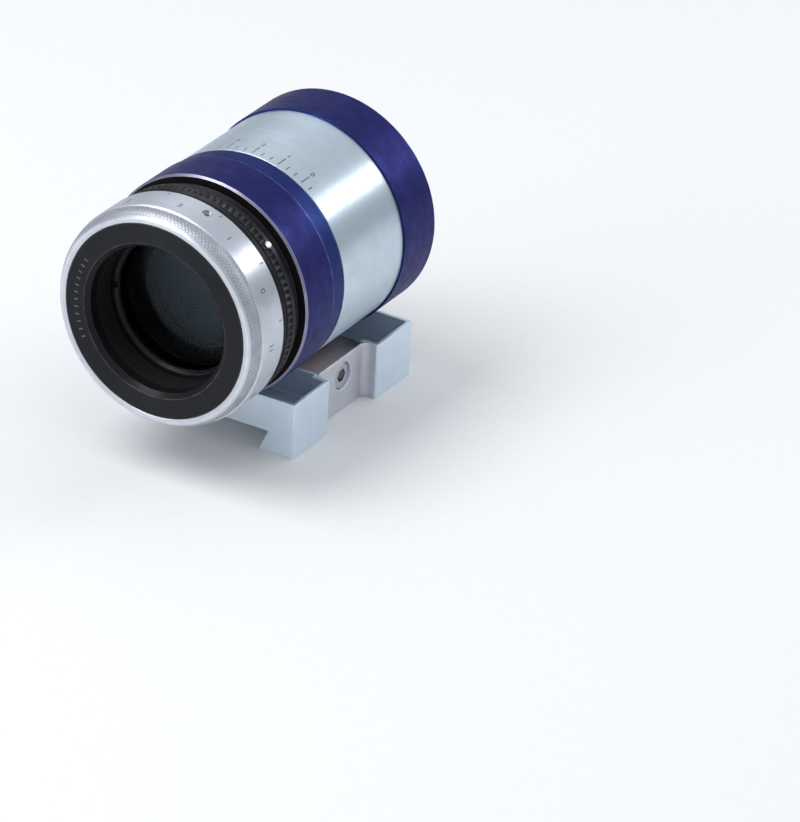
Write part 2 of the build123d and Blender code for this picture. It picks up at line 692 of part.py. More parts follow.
with BuildPart() as front_standoffs:
    hex_bar(standoff_points, COVER_SPIGOT_REAR, SENSOR_BOARD_FRONT, STANDOFF_FLATS)
    round_bar(standoff_points, FRONT_STUD_TIP, COVER_SPIGOT_REAR, STUD_RADIUS)
    round_bar(standoff_points, FRONT_STANDOFF_HOLE, SENSOR_BOARD_FRONT, STUD_RADIUS, Mode.SUBTRACT)

with BuildPart() as sensor_board:
    turn_ring(SENSOR_BOARD_FRONT, SENSOR_BOARD_REAR, 0, SENSOR_BOARD_RADIUS)
    round_bar(standoff_points, SENSOR_BOARD_FRONT, SENSOR_BOARD_REAR, STUD_RADIUS, Mode.SUBTRACT)

with BuildPart() as sensor_package:
    block((0, 0), SENSOR_PACKAGE, PACKAGE_FRONT, SENSOR_BOARD_FRONT)
    block((0, 0), PACKAGE_POCKET, PACKAGE_FRONT, PACKAGE_POCKET_REAR, Mode.SUBTRACT)

with BuildPart() as sensor_die:
    block((0, 0), SENSOR_DIE, PACKAGE_POCKET_REAR - DIE_THICKNESS, PACKAGE_POCKET_REAR)

with BuildPart() as sensor_glass:
    block((0, 0), GLASS_LID, GLASS_LID_FRONT, PACKAGE_FRONT)

with BuildPart() as rear_standoffs:
    hex_bar(standoff_points, SENSOR_BOARD_REAR, INTERFACE_BOARD_FRONT, STANDOFF_FLATS)
    round_bar(standoff_points, REAR_STUD_TIP, SENSOR_BOARD_REAR, STUD_RADIUS)
    round_bar(standoff_points, REAR_STANDOFF_HOLE, INTERFACE_BOARD_FRONT, STUD_RADIUS, Mode.SUBTRACT)

# surface-mounted parts: centre across and up, width, height
COMPONENTS = [
    (-9.0, -3.0, 3.2, 1.6),
    (-9.0, -6.5, 2.0, 1.25),
    (-4.5, -9.0, 2.0, 1.25),
    (0.0, -9.5, 3.2, 2.5),
    (4.5, -9.0, 2.0, 1.25),
    (9.0, -6.0, 2.0, 1.25),
    (9.5, -2.0, 2.5, 2.0),
    (-11.0, 3.0, 2.0, 1.25),
    (11.0, 3.0, 2.0, 1.25),
]
COMPONENT_HEIGHT = 0.9

with BuildPart() as board_components:
    for across, up, width, height in COMPONENTS:
        block((across, up), (width, height), SENSOR_BOARD_REAR, SENSOR_BOARD_REAR + COMPONENT_HEIGHT)

HEADER_REAR = SENSOR_BOARD_REAR + 2.5
HEADER_SOCKET_FRONT = 44.5
HEADER_COLUMNS = 5
HEADER_PITCH = 2.0
PIN_SIZE = (0.5, 0.5)
PIN_REAR = HEADER_SOCKET_FRONT + 3.0
PIN_HOLE_REAR = HEADER_SOCKET_FRONT + 4.0
first_column = HEADER_CENTRE[0] - (HEADER_COLUMNS - 1) / 2 * HEADER_PITCH
first_row = HEADER_CENTRE[1] - HEADER_PITCH / 2
header_pin_points = [
    (first_column + column * HEADER_PITCH, first_row + row * HEADER_PITCH)
    for column in range(HEADER_COLUMNS)
    for row in range(2)
]

with BuildPart() as header_base:
    block(HEADER_CENTRE, HEADER_SIZE, SENSOR_BOARD_REAR, HEADER_REAR)
    for point in header_pin_points:
        block(point, PIN_SIZE, SENSOR_BOARD_REAR, HEADER_REAR, Mode.SUBTRACT)

with BuildPart() as header_pins:
    for point in header_pin_points:
        block(point, PIN_SIZE, SENSOR_BOARD_REAR, PIN_REAR)

with BuildPart() as header_socket:
    block(HEADER_CENTRE, HEADER_SIZE, HEADER_SOCKET_FRONT, INTERFACE_BOARD_FRONT)
    for point in header_pin_points:
        block(point, PIN_SIZE, HEADER_SOCKET_FRONT, PIN_HOLE_REAR, Mode.SUBTRACT)

with BuildPart() as interface_board:
    turn_ring(INTERFACE_BOARD_FRONT, BOARD_REAR, 0, INTERFACE_BOARD_RADIUS)
    block(PORT_CENTRE, PORT_SIZE, INTERFACE_BOARD_FRONT, BOARD_REAR, Mode.SUBTRACT)
    round_bar(standoff_points, INTERFACE_BOARD_FRONT, BOARD_REAR, STUD_RADIUS, Mode.SUBTRACT)

CHIP_CENTRE = (-10.6, 2.6)
CHIP_SIZE = (7.0, 7.0)
CHIP_THICKNESS = 1.0

with BuildPart() as controller_chip:
    block(CHIP_CENTRE, CHIP_SIZE, INTERFACE_BOARD_FRONT - CHIP_THICKNESS, INTERFACE_BOARD_FRONT)

BOARD_SCREW_TIP = 48.5
BOARD_SCREW_TOP = BOARD_REAR + 1.4
BOARD_SCREW_HEAD_RADIUS = 2.2
BOARD_SCREW_HEX = 1.5
BOARD_SCREW_HEX_DEPTH = 0.8

with BuildPart() as board_screws:
    round_bar(standoff_points, BOARD_SCREW_TIP, BOARD_REAR, STUD_RADIUS)
    round_bar(standoff_points, BOARD_REAR, BOARD_SCREW_TOP, BOARD_SCREW_HEAD_RADIUS)
    hex_floor = BOARD_SCREW_TOP - BOARD_SCREW_HEX_DEPTH
    hex_bar(standoff_points, hex_floor, BOARD_SCREW_TOP, BOARD_SCREW_HEX, Mode.SUBTRACT)

# ---- dovetail clamp foot -------------------------------------------------------------------------

FOOT_CORNER = 0.5
WAIST_FILLET = 1.5
PLATFORM_STEP = 0.35
PLATFORM_FRONT = WAIST_FRONT + PLATFORM_STEP
PLATFORM_REAR = WAIST_REAR - PLATFORM_STEP
WELL_STEP = 0.95
COUNTERBORE_RADIUS = 2.85
COUNTERBORE_FLOOR = 12.6
CLAMP_SHANK = 1.45
CLAMP_HOLE = CLAMP_SHANK + RUNNING_FIT
CLAMP_HOLE_END = 2.3
PLUNGER_RADIUS = 1.5
PLUNGER_HOLE_RADIUS = PLUNGER_RADIUS + RUNNING_FIT
PLUNGER_HOLE_TOP = 8.0
PLUNGER_X = 2.6
FOOT_HEAD_RADIUS = 2.7
FOOT_HEAD_RECESS_RADIUS = 2.9
FOOT_HEAD_BOTTOM = 4.8
FOOT_HEAD_TOP = 6.8
FOOT_SCREW_TOP = 13.0
FOOT_SCREW_HEX = 2.0
FOOT_SCREW_HEX_DEPTH = 1.2
clamp_axis_plane = Plane(
    origin=(0, y_of(CLAMP_STATION), CLAMP_HEIGHT), x_dir=(0, 1, 0), z_dir=(1, 0, 0)
)


def bar_along_x(start, stop, radius, mode=Mode.ADD):
    """A round bar or hole on the clamp screw's axis."""
    with BuildSketch(clamp_axis_plane.offset(start)) as outline:
        Circle(radius)
    extrude(outline.sketch, amount=stop - start, mode=mode)


def upright(x, station, bottom, top, radius, mode=Mode.ADD):
    """A round bar or hole that stands upright in the foot."""
    with BuildSketch(Plane.XY.offset(bottom)) as outline:
        with Locations((x, y_of(station))):
            Circle(radius)
    extrude(outline.sketch, amount=top - bottom, mode=mode)


with BuildPart() as foot:
    with BuildSketch(Plane.XY):
        with BuildLine():
            right_side = [
                (0, y_of(FOOT_FRONT)),
                (FOOT_HALF_WIDTH, y_of(FOOT_FRONT)),
                (FOOT_HALF_WIDTH, y_of(WAIST_FRONT)),
                (WAIST_HALF_WIDTH, y_of(WAIST_FRONT)),
                (WAIST_HALF_WIDTH, y_of(WAIST_REAR)),
                (FOOT_HALF_WIDTH, y_of(WAIST_REAR)),
                (FOOT_HALF_WIDTH, y_of(LENGTH)),
                (0, y_of(LENGTH)),
            ]
            Polyline(*right_side)
            mirror(about=Plane.YZ)
        outline_face = make_face()
        inner_corners = [v for v in outline_face.vertices() if abs(abs(v.X) - WAIST_HALF_WIDTH) < EDGE]
        fillet(inner_corners, WAIST_FILLET)
    extrude(amount=FOOT_HEIGHT)
    upright_corners = [
        edge for edge in foot.edges().filter_by(Axis.Z) if abs(abs(edge.center().X) - FOOT_HALF_WIDTH) < EDGE
    ]
    fillet(upright_corners, FOOT_CORNER)
    # two open wells, ahead of the platform and behind it
    with BuildSketch(Plane.XY.offset(WELL_FLOOR)):
        for end, shoulder, platform in (
            (FOOT_FRONT + FOOT_WALL, WAIST_FRONT - WELL_STEP, PLATFORM_FRONT),
            (LENGTH - FOOT_WALL, WAIST_REAR + WELL_STEP, PLATFORM_REAR),
        ):
            with Locations((0, (y_of(end) + y_of(shoulder)) / 2)):
                Rectangle(2 * (FOOT_HALF_WIDTH - FOOT_WALL), abs(shoulder - end))
            with Locations((0, (y_of(shoulder) + y_of(platform)) / 2)):
                Rectangle(2 * (WAIST_HALF_WIDTH - FOOT_WALL), abs(platform - shoulder))
    extrude(amount=FOOT_HEIGHT - WELL_FLOOR, mode=Mode.SUBTRACT)
    # dovetail channel, open below
    with BuildSketch(Plane.XZ.offset(-y_of(LENGTH))):
        with BuildLine():
            Polyline(
                (-CHANNEL_MOUTH_HALF, 0),
                (CHANNEL_MOUTH_HALF, 0),
                (CHANNEL_CEILING_HALF, CHANNEL_HEIGHT),
                (-CHANNEL_CEILING_HALF, CHANNEL_HEIGHT),
                close=True,
            )
        make_face()
    extrude(amount=LENGTH - FOOT_FRONT, mode=Mode.SUBTRACT)
    # saddle for the tube, and room for the two rings that overhang the wells
    turn_ring(COVER_REAR, TUBE_REAR, 0, TUBE_RADIUS, Mode.SUBTRACT)
    turn_ring(COLLAR_FRONT, COVER_REAR, 0, COLLAR_RADIUS + MOVING_GAP, Mode.SUBTRACT)
    turn_ring(TUBE_REAR, LENGTH, 0, COLLAR_RADIUS + MOVING_GAP, Mode.SUBTRACT)
    # clamp screw, plunger and fixing screw holes
    bar_along_x(COUNTERBORE_FLOOR, FOOT_HALF_WIDTH, COUNTERBORE_RADIUS, Mode.SUBTRACT)
    bar_along_x(CLAMP_HOLE_END, COUNTERBORE_FLOOR, CLAMP_HOLE, Mode.SUBTRACT)
    plunger_place = (PLUNGER_X, CLAMP_STATION)
    upright(*plunger_place, CHANNEL_HEIGHT, PLUNGER_HOLE_TOP, PLUNGER_HOLE_RADIUS, Mode.SUBTRACT)
    for station in FOOT_SCREW_STATIONS:
        upright(0, station, CHANNEL_HEIGHT, FOOT_HEIGHT, FOOT_SCREW_RADIUS, Mode.SUBTRACT)
        upright(0, station, CHANNEL_HEIGHT, FOOT_HEAD_TOP, FOOT_HEAD_RECESS_RADIUS, Mode.SUBTRACT)

with BuildPart() as foot_screws:
    for station in FOOT_SCREW_STATIONS:
        upright(0, station, FOOT_HEAD_BOTTOM, FOOT_HEAD_TOP, FOOT_HEAD_RADIUS)
        upright(0, station, FOOT_HEAD_TOP, FOOT_SCREW_TOP, FOOT_SCREW_RADIUS)
        with BuildSketch(Plane.XY.offset(FOOT_HEAD_BOTTOM)) as hex_socket:
            with Locations((0, y_of(station))):
                RegularPolygon(FOOT_SCREW_HEX / 2, 6, major_radius=False)
        extrude(hex_socket.sketch, amount=FOOT_SCREW_HEX_DEPTH, mode=Mode.SUBTRACT)

CLAMP_TIP = 6.0
CLAMP_HEAD_FRONT = 13.2
CLAMP_HEAD_REAR = 15.5
CLAMP_HEAD_RADIUS = 2.7
CLAMP_HEX = 2.5
CLAMP_HEX_DEPTH = 1.5
BALL_RADIUS = 1.45
CONTACT_GAP = 0.03

with BuildPart() as clamp_screw:
    bar_along_x(CLAMP_TIP, CLAMP_HEAD_FRONT, CLAMP_SHANK)
    bar_along_x(CLAMP_HEAD_FRONT, CLAMP_HEAD_REAR, CLAMP_HEAD_RADIUS)
    chamfer(clamp_screw.edges().group_by(Axis.X)[-1], EDGE)
    with BuildSketch(clamp_axis_plane.offset(CLAMP_HEAD_REAR - CLAMP_HEX_DEPTH)) as hex_socket:
        RegularPolygon(CLAMP_HEX / 2, 6, major_radius=False)
    extrude(hex_socket.sketch, amount=CLAMP_HEX_DEPTH, mode=Mode.SUBTRACT)

BALL_X = CLAMP_TIP - BALL_RADIUS - CONTACT_GAP

with BuildPart() as clamp_ball:
    with Locations((BALL_X, y_of(CLAMP_STATION), CLAMP_HEIGHT)):
        Sphere(BALL_RADIUS)

# the ball bears on the plunger's 45 degree cone, so both travel equally
contact_reach = (BALL_RADIUS + CONTACT_GAP) / sqrt(2)
cone_apex = CLAMP_HEIGHT - contact_reach + (BALL_X - contact_reach - PLUNGER_X)
PLUNGER_FLAT = 0.4
plunger_plane = Plane(origin=(PLUNGER_X, y_of(CLAMP_STATION), 0), x_dir=(1, 0, 0), z_dir=(0, -1, 0))

with BuildPart() as clamp_plunger:
    with BuildSketch(plunger_plane) as outline:
        with BuildLine():
            Polyline(
                (0, CHANNEL_HEIGHT + RUNNING_FIT),
                (PLUNGER_RADIUS, CHANNEL_HEIGHT + RUNNING_FIT),
                (PLUNGER_RADIUS, cone_apex - PLUNGER_RADIUS),
                (PLUNGER_FLAT, cone_apex - PLUNGER_FLAT),
                (0, cone_apex - PLUNGER_FLAT),
                close=True,
            )
        make_face()
    revolve(axis=Axis((PLUNGER_X, y_of(CLAMP_STATION), 0), (0, 0, 1)))

# ---- output -----------------------------------------------------------------------------------------

PIECES = {
    "bezel": bezel,
    "lens_cell": lens_cell,
    "front_retainer": front_retainer,
    "front_lens": front_lens,
    "lens_spacer": lens_spacer,
    "crown_lens": crown_lens,
    "flint_lens": flint_lens,
    "aperture_stop": aperture_stop,
    "rear_lens": rear_lens,
    "rear_retainer": rear_retainer,
    "focus_ring": focus_ring,
    "helicoid_ring": helicoid_ring,
    "focus_ring_screws": focus_ring_screws,
    "lens_mount": lens_mount,
    "guide_pins": guide_pins,
    "snap_ring": snap_ring,
    "lock_ring": lock_ring,
    "lock_screw": lock_screw,
    "front_collar": front_collar,
    "front_cover": front_cover,
    "front_seal": front_seal,
    "rear_seal": rear_seal,
    "body_tube": body_tube,
    "rear_ring": rear_ring,
    "rear_plate": rear_plate,
    "rear_plate_screws": rear_plate_screws,
    "usb_socket": usb_socket,
    "usb_tongue": usb_tongue,
    "guide_port": guide_port,
    "guide_port_contacts": guide_port_contacts,
    "sensor_window": sensor_window,
    "window_retainer": window_retainer,
    "front_standoffs": front_standoffs,
    "sensor_board": sensor_board,
    "sensor_package": sensor_package,
    "sensor_die": sensor_die,
    "sensor_glass": sensor_glass,
    "rear_standoffs": rear_standoffs,
    "board_components": board_components,
    "header_base": header_base,
    "header_pins": header_pins,
    "header_socket": header_socket,
    "interface_board": interface_board,
    "controller_chip": controller_chip,
    "board_screws": board_screws,
    "foot": foot,
    "foot_screws": foot_screws,
    "clamp_screw": clamp_screw,
    "clamp_ball": clamp_ball,
    "clamp_plunger": clamp_plunger,
}

os.makedirs("parts", exist_ok=True)
for name, piece in PIECES.items():
    piece.part.label = name
    export_step(piece.part, f"parts/{name}.step")
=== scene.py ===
import json
from math import atan2, cos, degrees, hypot, pi, radians, sin

import bmesh
import bpy
from mathutils import Matrix, Vector

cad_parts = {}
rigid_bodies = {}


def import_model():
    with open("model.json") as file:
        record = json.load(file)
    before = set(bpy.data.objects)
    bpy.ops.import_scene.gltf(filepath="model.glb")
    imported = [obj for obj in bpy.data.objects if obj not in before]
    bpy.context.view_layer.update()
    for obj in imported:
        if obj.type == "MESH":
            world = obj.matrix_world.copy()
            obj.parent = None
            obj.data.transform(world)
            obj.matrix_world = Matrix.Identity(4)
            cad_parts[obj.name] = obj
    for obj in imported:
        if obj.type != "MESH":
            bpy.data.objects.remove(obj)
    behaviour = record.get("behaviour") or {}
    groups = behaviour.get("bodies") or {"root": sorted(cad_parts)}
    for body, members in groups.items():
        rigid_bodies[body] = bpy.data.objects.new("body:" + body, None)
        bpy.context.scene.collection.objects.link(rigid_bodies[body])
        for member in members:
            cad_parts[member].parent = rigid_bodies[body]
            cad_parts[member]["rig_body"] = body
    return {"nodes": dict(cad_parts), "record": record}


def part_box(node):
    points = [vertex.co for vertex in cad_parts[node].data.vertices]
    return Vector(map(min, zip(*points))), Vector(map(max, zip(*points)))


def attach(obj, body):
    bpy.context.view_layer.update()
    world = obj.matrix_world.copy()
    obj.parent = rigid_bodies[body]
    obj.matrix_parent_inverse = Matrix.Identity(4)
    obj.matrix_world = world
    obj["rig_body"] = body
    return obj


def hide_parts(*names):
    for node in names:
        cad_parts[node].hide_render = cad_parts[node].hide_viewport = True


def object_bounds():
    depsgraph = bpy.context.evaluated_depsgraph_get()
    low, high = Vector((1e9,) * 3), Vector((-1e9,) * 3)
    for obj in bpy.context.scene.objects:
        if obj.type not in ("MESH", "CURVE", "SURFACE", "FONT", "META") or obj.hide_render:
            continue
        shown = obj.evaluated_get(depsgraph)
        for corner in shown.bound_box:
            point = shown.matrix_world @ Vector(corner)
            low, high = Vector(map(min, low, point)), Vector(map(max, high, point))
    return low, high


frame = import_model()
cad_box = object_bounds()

# A guide camera in a soft white studio. Blender works in metres, and MM turns the millimetres
# below into metres. A station is a distance along the tube, from the front rim rearwards.
# Angles run round the tube: 0 is +X, 90 is up.

MM = 0.001
RIM_LOW, RIM_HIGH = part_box("focus_ring")
RIM_Y = RIM_LOW.y
AXIS_Z = (RIM_LOW.z + RIM_HIGH.z) / 2
MIDDLE = (cad_box[0] + cad_box[1]) / 2
SLOT_OF = {part["node"]: part["material_slot"] for part in frame["record"]["subparts"]}


# ---- places read from the frame -----------------------------------------------------------

def front(node):
    """The station where a node starts."""
    return (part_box(node)[0].y - RIM_Y) / MM


def rear(node):
    """The station where a node ends."""
    return (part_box(node)[1].y - RIM_Y) / MM


def reach(node):
    """A turned node's outer radius, in millimetres."""
    low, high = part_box(node)
    return (high.x - low.x) / 2 / MM


def at(station, radius, angle):
    """The point at a station, a radius and an angle."""
    turn = radians(angle)
    return Vector((radius * cos(turn) * MM, RIM_Y + station * MM, AXIS_Z + radius * sin(turn) * MM))


def where(point):
    """The station, radius and angle of a point."""
    up = point.z - AXIS_Z
    return (point.y - RIM_Y) / MM, hypot(point.x, up) / MM, degrees(atan2(up, point.x)) % 360


# ---- materials ----------------------------------------------------------------------------

class Finish:
    """A procedural material: one Principled shader and the nodes that feed it."""

    def __init__(self, name, **values):
        self.material = bpy.data.materials.new(name)
        self.material.use_nodes = True
        self.nodes = self.material.node_tree.nodes
        self.links = self.material.node_tree.links
        self.shader = self.nodes["Principled BSDF"]
        for socket, value in values.items():
            self.shader.inputs[socket].default_value = value
        self.place = self.nodes.new("ShaderNodeTexCoord").outputs["Object"]

    def feed(self, socket, source):
        """Drive one of the shader's sockets."""
        self.links.new(source, self.shader.inputs[socket])

    def noise(self, per_mm, stretch=(1, 1, 1), detail=3.0):
        """Noise with so many features in a millimetre along Y, drawn out by stretch."""
        mapping = self.nodes.new("ShaderNodeMapping")
        mapping.inputs["Scale"].default_value = [per_mm / MM / part for part in stretch]
        self.links.new(self.place, mapping.inputs["Vector"])
        texture = self.nodes.new("ShaderNodeTexNoise")
        texture.inputs["Scale"].default_value = 1.0
        texture.inputs["Detail"].default_value = detail
        self.links.new(mapping.outputs["Vector"], texture.inputs["Vector"])
        return texture.outputs["Fac"]

    def spread(self, source, low, high, start=0.3, end=0.7):
        """A value from low to high as the source goes from start to end."""
        node = self.nodes.new("ShaderNodeMapRange")
        for socket, value in zip(("From Min", "From Max", "To Min", "To Max"), (start, end, low, high)):
            node.inputs[socket].default_value = value
        self.links.new(source, node.inputs["Value"])
        return node.outputs["Result"]

    def calc(self, operation, first, second):
        """Arithmetic on two values, which may come from other nodes."""
        node = self.nodes.new("ShaderNodeMath")
        node.operation = operation
        for socket, value in zip(node.inputs, (first, second)):
            if isinstance(value, (int, float)):
                socket.default_value = value
            else:
                self.links.new(value, socket)
        return node.outputs["Value"]

    def blend(self, factor, first, second):
        """A colour between two colours, which may come from other nodes."""
        node = self.nodes.new("ShaderNodeMix")
        node.data_type = "RGBA"
        self.links.new(factor, node.inputs["Factor"])
        for name, value in (("A", first), ("B", second)):
            socket = next(s for s in node.inputs if s.name == name and s.type == "RGBA")
            if isinstance(value, tuple):
                socket.default_value = (*value, 1.0)
            else:
                self.links.new(value, socket)
        return next(s for s in node.outputs if s.type == "RGBA")

    def wear(self):
        """How much the piece's rounded edges are brightened, partly as rubbed metal and partly as painted
        highlight, broken up by noise.
        """
        edge = self.nodes.new("ShaderNodeAttribute")
        edge.attribute_name = "wear"
        return self.calc("MULTIPLY", edge.outputs["Fac"], self.spread(self.noise(0.45), 0.2, 1.0, 0.35, 0.65))

    def relief(self, source, depth_mm):
        """Raise the surface by a height from 0 to 1."""
        node = self.nodes.new("ShaderNodeBump")
        node.inputs["Distance"].default_value = depth_mm * MM
        node.inputs["Strength"].default_value = 0.5
        self.links.new(source, node.inputs["Height"])
        self.feed("Normal", node.outputs["Normal"])


ACROSS_THE_RINGS = 0.25
RINGS_PER_MM = 5.0
RING_STRETCH = (60, 1, 60)
RING_DEPTH = 0.002
GRAIN_PER_MM = 9.0


def turned_metal(name, colour, shade, bare_and_highlight, roughness, edge_brightness=0.6, drawn=0.75, **values):
    """Anodised metal off a lathe: fine rings, faint mottling, and edges brightened partly as rubbed metal and
    partly as painted highlight.
    """
    finish = Finish(
        name, **{"Metallic": 1.0, "Anisotropic": drawn, "Anisotropic Rotation": ACROSS_THE_RINGS, **values}
    )
    tangent = finish.nodes.new("ShaderNodeTangent")
    tangent.direction_type = "RADIAL"
    tangent.axis = "Y"
    finish.feed("Tangent", tangent.outputs["Tangent"])
    rings = finish.noise(RINGS_PER_MM, RING_STRETCH, detail=2.0)
    mottle = finish.noise(0.35, detail=4.0)
    grain = finish.noise(GRAIN_PER_MM, detail=2.0)
    body = finish.blend(finish.spread(mottle, 0.0, 1.0), colour, shade)
    body = finish.blend(finish.spread(rings, 0.0, 0.35), body, shade)
    wear = finish.calc("MULTIPLY", finish.wear(), edge_brightness)
    finish.feed("Base Color", finish.blend(wear, body, bare_and_highlight))
    uneven = finish.spread(rings, -0.05, 0.05)
    rough = finish.calc("ADD", uneven, finish.spread(mottle, roughness - 0.03, roughness + 0.04))
    rough = finish.calc("ADD", rough, finish.spread(grain, -0.03, 0.03))
    finish.feed("Roughness", rough)
    finish.relief(rings, RING_DEPTH)
    return finish.material


def blasted_metal(name, colour, shade, bare_and_highlight, roughness):
    """Bead blasted and anodised: an even fine grain, brighter on the edges, partly as rubbed metal and partly
    as painted highlight.
    """
    finish = Finish(name, Metallic=0.55)
    grain = finish.noise(GRAIN_PER_MM)
    mottle = finish.noise(0.22, detail=4.0)
    body = finish.blend(finish.spread(mottle, 0.0, 1.0), colour, shade)
    body = finish.blend(finish.spread(grain, 0.0, 0.3, 0.35, 0.65), body, shade)
    finish.feed("Base Color", finish.blend(finish.calc("MULTIPLY", finish.wear(), 0.8), body, bare_and_highlight))
    uneven = finish.spread(grain, -0.06, 0.06)
    rough = finish.calc("ADD", uneven, finish.spread(mottle, roughness - 0.03, roughness + 0.03))
    finish.feed("Roughness", rough)
    finish.relief(grain, 0.012)
    return finish.material


def plain_metal(name, colour, shade, roughness, stretch=(1, 1, 1)):
    """Machined metal with a fine grain, which may be drawn out into brush marks."""
    finish = Finish(name, Metallic=1.0)
    grain = finish.noise(4.0, stretch)
    finish.feed("Base Color", finish.blend(finish.spread(grain, 0.0, 1.0), colour, shade))
    finish.feed("Roughness", finish.spread(grain, roughness - 0.06, roughness + 0.08))
    finish.relief(grain, 0.006)
    return finish.material


def moulded(name, colour, shade, roughness, grain_mm=0.15, depth=0.01, **values):
    """Plastic, rubber, ceramic or board: a soft grain and uneven gloss."""
    finish = Finish(name, **values)
    grain = finish.noise(1 / grain_mm, detail=2.0)
    cloud = finish.noise(0.4, detail=3.0)
    finish.feed("Base Color", finish.blend(finish.spread(cloud, 0.0, 1.0), colour, shade))
    uneven = finish.spread(grain, -0.05, 0.05)
    rough = finish.calc("ADD", uneven, finish.spread(cloud, roughness - 0.04, roughness + 0.04))
    finish.feed("Roughness", rough)
    finish.relief(grain, depth)
    return finish.material


def coated_glass(name, tint, coating):
    """Coated optical glass, slightly uneven in tint. Its low index stands for the coating."""
    finish = Finish(
        name, **{"Transmission Weight": 1.0, "IOR": 1.3, "Roughness": 0.12, "Specular Tint": (*coating, 1.0)}
    )
    cloud = finish.noise(0.15, detail=2.0)
    darker = tuple(0.97 * part for part in tint)
    finish.feed("Base Color", finish.blend(finish.spread(cloud, 0.0, 1.0), tint, darker))
    return finish.material


BARE = (0.80, 0.82, 0.87)
FINISHES = {
    "silver_anodised": turned_metal("silver", (0.60, 0.70, 0.78), (0.54, 0.64, 0.72), BARE, 0.36, 0.9),
    # The blue's edge colour is a painted highlight: a light blue line along its rounded edges.
    "blue_anodised": turned_metal(
        "blue", (0.027, 0.031, 0.170), (0.019, 0.022, 0.120), (0.42, 0.52, 0.95), 0.50, 0.9, drawn=0.3
    ),
    # The black's edge colour is a painted grey highlight on its rounded edges and knurl teeth.
    "black_anodised": turned_metal(
        "black", (0.006, 0.007, 0.010), (0.004, 0.005, 0.007), (0.09, 0.09, 0.10), 0.38, 0.9,
        **{"Metallic": 0.0, "Specular IOR Level": 0.2},
    ),
    # The foot's edge colour is partly rubbed metal and partly a painted highlight along its edges.
    "blasted_aluminium": blasted_metal(
        "blasted", (0.72, 0.83, 0.93), (0.66, 0.77, 0.88), (0.96, 0.98, 1.0), 0.36
    ),
    "bearing_brass": plain_metal("brass", (0.72, 0.53, 0.24), (0.58, 0.41, 0.18), 0.3, (20, 1, 20)),
    "steel": plain_metal("steel", (0.60, 0.60, 0.61), (0.48, 0.48, 0.5), 0.25),
    "black_steel": plain_metal("black_oxide", (0.055, 0.055, 0.06), (0.03, 0.03, 0.034), 0.38),
    "optical_glass": coated_glass("glass", (0.90, 0.94, 0.96), (0.17, 0.25, 0.33)),
    "seal_rubber": moulded("rubber", (0.02, 0.02, 0.021), (0.035, 0.035, 0.036), 0.6),
    "circuit_board": moulded("board", (0.012, 0.11, 0.05), (0.02, 0.16, 0.075), 0.3),
    "black_plastic": moulded("plastic", (0.018, 0.018, 0.02), (0.03, 0.03, 0.032), 0.45),
    "plated_steel": plain_metal("nickel", (0.70, 0.68, 0.64), (0.60, 0.58, 0.55), 0.2),
    "gold_contacts": plain_metal("gold", (0.85, 0.60, 0.24), (0.75, 0.5, 0.18), 0.22),
    "ceramic": moulded("ceramic", (0.36, 0.34, 0.31), (0.42, 0.40, 0.37), 0.6),
    "silicon": moulded("silicon", (0.05, 0.045, 0.08), (0.03, 0.05, 0.07), 0.12),
}
SATIN_SILVER = turned_metal("satin_silver", (0.62, 0.65, 0.72), (0.56, 0.59, 0.66), BARE, 0.38, 0.9)
KNURLED_SILVER = turned_metal(
    "knurled_silver", (0.40, 0.42, 0.47), (0.34, 0.36, 0.41), (0.86, 0.88, 0.92), 0.5, 0.8, drawn=0.0
)
# Its edge colour is a painted highlight: a light blue line along the rounded edges.
DEEP_BLUE = turned_metal(
    "deep_blue", (0.024, 0.044, 0.200), (0.017, 0.030, 0.140), (0.28, 0.42, 0.90), 0.48, 0.9, drawn=0.3
)
BARE_CUT = turned_metal("bare_cut", (0.28, 0.27, 0.37), (0.23, 0.22, 0.32), BARE, 0.34, drawn=0.2)
# A darker machined finish for the foot's platform and saddle: partly the machined metal, partly painted shade
# under the tube.
MILLED_AND_SHADED = plain_metal("milled_and_shaded", (0.60, 0.51, 0.50), (0.48, 0.40, 0.39), 0.34, (12, 1, 12))
WAIST = blasted_metal("waist", (0.65, 0.66, 0.72), (0.58, 0.59, 0.65), (0.92, 0.93, 0.96), 0.36)
# Near-black: the blackened inner walls, and painted shade on the collar's front face.
STRAY_BLACK_AND_SHADE = moulded(
    "stray_black_and_shade", (0.004, 0.004, 0.0045), (0.006, 0.006, 0.0065), 0.7, **{"Specular IOR Level": 0.12}
)
MARK_DARK = moulded("mark_dark", (0.10, 0.11, 0.13), (0.16, 0.17, 0.19), 0.6)
MARK_PALE = moulded("mark_pale", (0.13, 0.135, 0.15), (0.08, 0.085, 0.10), 0.6)


# ---- mesh tools ---------------------------------------------------------------------------

ROUND_STEPS = 5
BEVEL_STEPS = 2
SHARPEST = radians(25)
SMOOTH_ANGLE = radians(32)
WELD = 0.002 * MM
# Millimetres: a gap too small to mean anything, how deep a face may lie and still be on the
# surface, and the sizes of the marks and of the tool that cuts the holes.
HAIR = 0.01
SKIN = 0.05
PRINT_HEIGHT = 0.012
PRINT_SWELL = 0.04
TICK_DEPTH = 0.04
CUTTER_LENGTH = 10


def rounded(corners):
    """A closed outline as (station, radius, edge brightness) points, from (station, radius, rounding)
    corners. The brightness of the rounded corners is partly rubbed metal and partly painted highlight.
    """
    outline = []
    for index, (station, radius, rounding) in enumerate(corners):
        corner = Vector((station, radius))
        if not rounding:
            outline.append((station, radius, 0.0))
            continue
        back = (Vector(corners[index - 1][:2]) - corner).normalized() * rounding
        ahead = (Vector(corners[(index + 1) % len(corners)][:2]) - corner).normalized() * rounding
        for step in range(ROUND_STEPS + 1):
            t = step / ROUND_STEPS
            point = corner + back * (1 - t) ** 2 + ahead * t ** 2
            outline.append((point.x, point.y, sin(pi * t)))
    return outline


